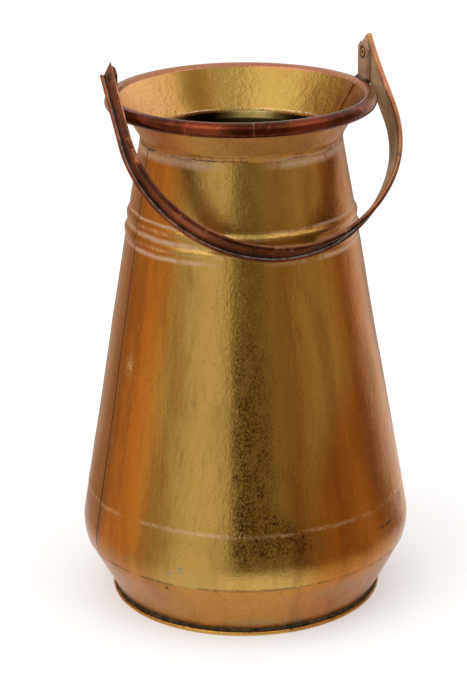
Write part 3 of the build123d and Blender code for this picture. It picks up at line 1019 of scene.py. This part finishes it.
def on_bail(place, out, width, rise):
    """Point of the bail, with its slightly uneven bends."""
    point = in_bail(place.x + out.x * rise, place.y + out.y * rise, width)
    free = soft_step(BAIL_TIP - place.y, 22, 60)
    point += BAIL_FORWARD * (0.25 * free * wave(point, 35, 81))
    spread = 0.2 * free * wave(point, 28, 87)
    if out.x > 0:
        bow = RIGHT_LEG_SPLAY * bump_at(place.y, RIGHT_LEG_SPLAY_PLACE, RIGHT_LEG_SPLAY_REACH)
        spread += bow * out.x
    return point + (Vector((1, 0, 0)) * out.x + BAIL_UP * out.y) * spread


def make_bail():
    """Bail strip with curled edges and a wire in each curl."""
    section, kinds = bail_section()
    stations = bail_stations()
    rings = [[on_bail(place, out, width, rise) for width, rise in section] for place, out in stations]
    mesh = closed_mesh("bail", rings, kinds)
    for material in (bail_copper, bail_face, bail_curl, bail_edge_highlight):
        mesh.materials.append(material)
    finish_mesh("bail_handle", cut(mesh, curl_cutter()), [], "bail", ["bail_strip"], 50)
    middle = BAIL_WIDTH / 2 - BAIL_CURL_RADIUS
    count = 12
    for name, side, left_end in (("front", 1, -LEFT_CURL_START), ("back", -1, LEFT_BAIL_TIP)):
        circle = arc((side * middle, BAIL_CURL_RADIUS), BAIL_WIRE_RADIUS, 0, 2 * math.pi, count)[:-1]
        rings = []
        for place, out in stations:
            if out.x > -1 or place.y <= left_end:
                rings.append([on_bail(place, out, width, rise) for width, rise in circle])
        mesh = closed_mesh(f"wire_{name}", rings, [0] * count)
        finish_mesh(f"bail_wire_{name}_run", mesh, [wire_grey], "bail", [f"bail_wire_{name}"], 50)


def dress_nodes():
    """Materials of the nodes that keep their own shape."""
    finishes = {
        "rim_wire": iron_grey,
        "ear_left": ear_copper_shaded,
        "ear_right": ear_copper,
        "ear_braze_left": braze_dark,
        "ear_braze_right": braze_dark,
        "pivot_rivet_left": rivet_brass_shaded,
        "pivot_rivet_right": rivet_brass,
    }
    for name, material in finishes.items():
        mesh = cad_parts[name].data
        mesh.materials.clear()
        mesh.materials.append(material)


def make_camera():
    """Camera at the photograph's viewpoint."""
    azimuth, pitch = math.radians(CAMERA_AZIMUTH), math.radians(CAMERA_PITCH)
    back = Vector(
        (
            math.sin(azimuth) * math.cos(pitch),
            -math.cos(azimuth) * math.cos(pitch),
            math.sin(pitch),
        )
    )
    data = bpy.data.cameras.new("camera")
    data.sensor_width = SENSOR
    data.lens = FOCAL_PIXELS * SENSOR / IMAGE_LONG_SIDE
    data.shift_x = -AXIS_OFFSET_PIXELS / IMAGE_LONG_SIDE
    camera = bpy.data.objects.new("camera", data)
    bpy.context.collection.objects.link(camera)
    turn = (-back).to_track_quat("-Z", "Y").to_matrix().to_4x4()
    place = Matrix.Translation((Vector((0, 0, CAMERA_TARGET)) + back * CAMERA_DISTANCE) * MM)
    camera.matrix_world = place @ turn @ Matrix.Rotation(-math.radians(CAMERA_ROLL), 4, "Z")
    bpy.context.scene.camera = camera


FLOOR_SIZE = 12.0
FLOOR_COLOR = (0.86, 0.86, 0.86, 1)
FLOOR_LIFT = 0.24
WORLD_LIGHT = 0.86
LAMP_TARGET = 0.17


def seen_directly(tree):
    """Socket that is 1 for rays that show the background: camera, mirror and glass rays."""
    path = tree.nodes.new("ShaderNodeLightPath")
    total = path.outputs["Is Camera Ray"]
    for name in ("Is Glossy Ray", "Is Transmission Ray"):
        node = tree.nodes.new("ShaderNodeMath")
        node.operation = "MAXIMUM"
        tree.links.new(total, node.inputs[0])
        tree.links.new(path.outputs[name], node.inputs[1])
        total = node.outputs[0]
    return total


def make_world():
    """White surroundings, at full white where they are seen and softer where they light."""
    world = bpy.data.worlds.new("studio")
    world.use_nodes = True
    bpy.context.scene.world = world
    tree = world.node_tree
    background = tree.nodes["Background"]
    background.inputs["Color"].default_value = (1, 1, 1, 1)
    level = tree.nodes.new("ShaderNodeMapRange")
    tree.links.new(seen_directly(tree), level.inputs[0])
    level.inputs[3].default_value = WORLD_LIGHT
    level.inputs[4].default_value = 1.0
    tree.links.new(level.outputs[0], background.inputs["Strength"])


def make_floor():
    """Plain pale floor that keeps the can's shadow."""
    mesh = bpy.data.meshes.new("floor")
    half = FLOOR_SIZE / 2
    corners = [(-half, -half, 0), (half, -half, 0), (half, half, 0), (-half, half, 0)]
    mesh.from_pydata(corners, [], [(0, 1, 2, 3)])
    material = bpy.data.materials.new("floor_white")
    material.use_nodes = True
    tree = material.node_tree
    surface = tree.nodes["Principled BSDF"]
    surface.inputs["Base Color"].default_value = FLOOR_COLOR
    surface.inputs["Roughness"].default_value = 0.9
    surface.inputs["Specular IOR Level"].default_value = 0.0
    surface.inputs["Emission Color"].default_value = (1, 1, 1, 1)
    level = tree.nodes.new("ShaderNodeMapRange")
    tree.links.new(seen_directly(tree), level.inputs[0])
    level.inputs[4].default_value = FLOOR_LIFT
    tree.links.new(level.outputs[0], surface.inputs["Emission Strength"])
    mesh.materials.append(material)
    floor = bpy.data.objects.new("floor", mesh)
    bpy.context.collection.objects.link(floor)


def lamp(name, azimuth, elevation, distance, size, power):
    """Soft lamp that looks at the middle of the can, at angles off the camera and above the floor."""
    data = bpy.data.lights.new(name, "AREA")
    data.shape = "RECTANGLE"
    data.size, data.size_y = size
    data.energy = power
    light = bpy.data.objects.new(name, data)
    bpy.context.collection.objects.link(light)
    a, e = math.radians(azimuth + CAMERA_AZIMUTH), math.radians(elevation)
    back = Vector((math.sin(a) * math.cos(e), -math.cos(a) * math.cos(e), math.sin(e)))
    turn = (-back).to_track_quat("-Z", "Y").to_matrix().to_4x4()
    light.matrix_world = Matrix.Translation(back * distance + Vector((0, 0, LAMP_TARGET))) @ turn


CARD_DISTANCE = 1.1
CARD_HEIGHT = 0.85
CARD_LIFT = 0.003
CARD_FOOT = 0.15
CARD_FADE = 0.14
CARD_COLUMNS = 8
FLOOR_SEEN = rgb(244, 244, 244)

# Cards round the can: name, angles off the camera, screen colour and distance of the foot
CARDS = (
    ("card_front", -10, 18, (138, 121, 84), 0.19),
    ("card_right_near", 18, 27, (174, 156, 122), CARD_FOOT),
    ("card_right_front", 27, 44, (142, 114, 76), CARD_FOOT),
    ("card_right_middle", 44, 68, (182, 162, 126), CARD_FOOT),
    ("card_right_glint", 68, 78, (158, 134, 104), CARD_FOOT),
    ("card_right_glow", 78, 90, (214, 188, 150), CARD_FOOT),
    ("card_right", 90, 115, (164, 136, 108), CARD_FOOT),
    ("card_left_middle", -46, -10, (240, 238, 224), 0.13),
    ("card_left_front", -69, -46, (202, 200, 180), CARD_FOOT),
    ("card_left", -99, -69, (252, 226, 184), CARD_FOOT),
    ("card_left_side", -134, -99, (190, 162, 126), CARD_FOOT),
    ("card_left_back", -180, -134, (212, 190, 168), CARD_FOOT),
    ("card_right_edge", 115, 150, (255, 244, 230), 0.1),
    ("card_back_right", 150, 175, (160, 142, 128), CARD_FOOT),
)


def make_card(name, start, end, color, foot):
    """Tinted card that lies on the floor and stands up round the can, seen by mirror rays only."""
    mesh = bpy.data.meshes.new(name)
    vertices, faces = [], []
    for i in range(CARD_COLUMNS + 1):
        angle = math.radians(CAMERA_AZIMUTH + start + (end - start) * i / CARD_COLUMNS)
        out = Vector((math.sin(angle), -math.cos(angle), 0))
        low = Vector((0, 0, CARD_LIFT))
        far = out * CARD_DISTANCE + low
        vertices += [out * foot + low, far, far + Vector((0, 0, CARD_HEIGHT))]
    for i in range(CARD_COLUMNS):
        for j in (3 * i, 3 * i + 1):
            faces.append((j, j + 1, j + 4, j + 3))
    mesh.from_pydata(vertices, [], faces)
    s = Shader(name)
    faded = s.mix(s.remap(s.from_axis(), foot, foot + CARD_FADE), FLOOR_SEEN, rgb(*color))
    s.set(Base_Color=(0, 0, 0, 1), Specular_IOR_Level=0.0, Emission_Color=faded, Emission_Strength=1.0)
    mesh.materials.append(s.material)
    panel = bpy.data.objects.new(name, mesh)
    bpy.context.collection.objects.link(panel)
    panel.visible_camera = False
    panel.visible_diffuse = False
    panel.visible_shadow = False
    panel.visible_transmission = False


def make_stage():
    """Floor, surroundings, lamps and the cards that give the metal its bands."""
    make_world()
    make_floor()
    lamp("key_lamp", azimuth=-48, elevation=42, distance=2.4, size=(2.4, 2.4), power=18)
    lamp("fill_lamp", azimuth=62, elevation=35, distance=2.4, size=(2.0, 2.0), power=8)
    for name, start, end, color, foot in CARDS:
        make_card(name, start, end, color, foot)


bpy.context.scene.view_settings.view_transform = "Standard"
make_can()
make_beads()
make_bail()
dress_nodes()
make_camera()
make_stage()
